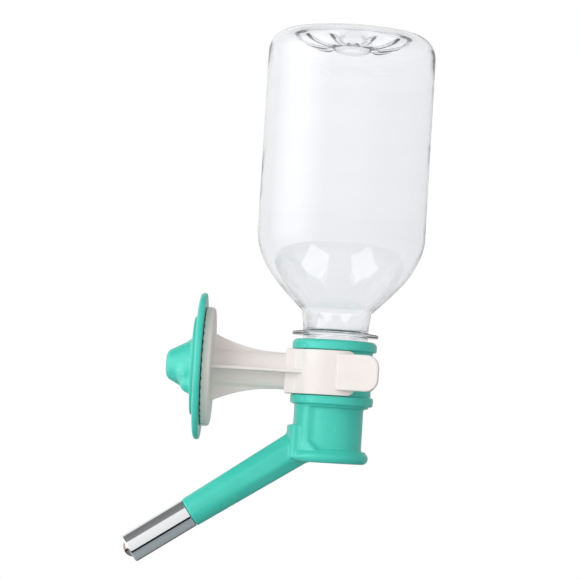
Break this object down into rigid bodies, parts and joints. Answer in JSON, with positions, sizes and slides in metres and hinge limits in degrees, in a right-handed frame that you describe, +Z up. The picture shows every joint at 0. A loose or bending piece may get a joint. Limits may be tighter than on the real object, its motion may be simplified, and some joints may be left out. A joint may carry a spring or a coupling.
{
  "type": "small animal water bottle",
  "caption": "Clear inverted bottle screwed into a mint nozzle with an angled ball-valve tube, held by a clip bracket that clamps onto cage wires with a wing knob.",
  "frame": {"origin": "centre of the bracket disc's cage-side face, where the cage wires are clamped", "axes": "+Z up along the bottle, -X towards the cage, +Y away from the viewer with the spout pointing to -X"},
  "size_m": [0.1091, 0.0644, 0.2076],
  "materials": {
    "clear_pet": "blown clear PET, glossy",
    "mint_plastic": "moulded polypropylene, soft gloss",
    "cream_plastic": "moulded warm white plastic, satin",
    "silicone": "soft matt",
    "stainless": "polished stainless steel",
    "spring_steel": "drawn stainless wire",
    "brass": "turned brass"
  },
  "bodies": {
    "bracket": {"bracket": "cream_plastic", "clamp_stud": "stainless"},
    "clip_front": {"clip_arm_front": "cream_plastic"},
    "clip_rear": {"clip_arm_rear": "cream_plastic"},
    "nozzle": {"nozzle_body": "mint_plastic", "drinking_tube": "stainless", "valve_spring": "spring_steel", "spring_seat": "cream_plastic", "tube_o_ring": "silicone"},
    "seal": {"neck_seal": "silicone"},
    "bottle": {"bottle": "clear_pet"},
    "ball": {"valve_ball": "stainless"},
    "plate": {"clamp_plate": "mint_plastic"},
    "knob": {"wing_knob": "mint_plastic", "knob_insert": "brass"}
  },
  "joints": [
    {"name": "clip_front_flex", "type": "hinge", "parent": "bracket", "child": "clip_front", "pos_m": [0.0394, -0.0122, 0], "axis": [0, 0, -1], "range_deg": [0, 14], "stiffness_Nm_per_rad": 1.2},
    {"name": "clip_rear_flex", "type": "hinge", "parent": "bracket", "child": "clip_rear", "pos_m": [0.0394, 0.0122, 0], "axis": [0, 0, 1], "range_deg": [0, 14], "stiffness_Nm_per_rad": 1.2},
    {"name": "nozzle_swivel", "type": "hinge", "parent": "bracket", "child": "nozzle", "pos_m": [0.04975, 0, 0], "axis": [0, 0, 1], "continuous": true},
    {"name": "bottle_lift", "type": "slide", "parent": "nozzle", "child": "seal", "axis": [0, 0, 1], "range_m": [0, 0.00636]},
    {"name": "bottle_turn", "type": "hinge", "parent": "seal", "child": "bottle", "pos_m": [0.04975, 0, 0], "axis": [0, 0, 1], "range_deg": [0, 720]},
    {"name": "ball_push", "type": "slide", "parent": "nozzle", "child": "ball", "axis": [0.8241, 0, 0.5664], "range_m": [0, 0.0025], "stiffness_N_per_m": 80, "springref_m": -0.003, "deforming": ["valve_spring"]},
    {"name": "plate_travel", "type": "slide", "parent": "bracket", "child": "plate", "axis": [-1, 0, 0], "range_m": [0, 0.005]},
    {"name": "knob_turn", "type": "hinge", "parent": "plate", "child": "knob", "pos_m": [-0.005, 0, 0], "axis": [-1, 0, 0], "range_deg": [0, 900]}
  ],
  "couplings": [
    {"joint": "bottle_turn", "follows": "bottle_lift", "rad_per_m": 1975.8},
    {"joint": "knob_turn", "follows": "plate_travel", "rad_per_m": 3141.5}
  ]
}
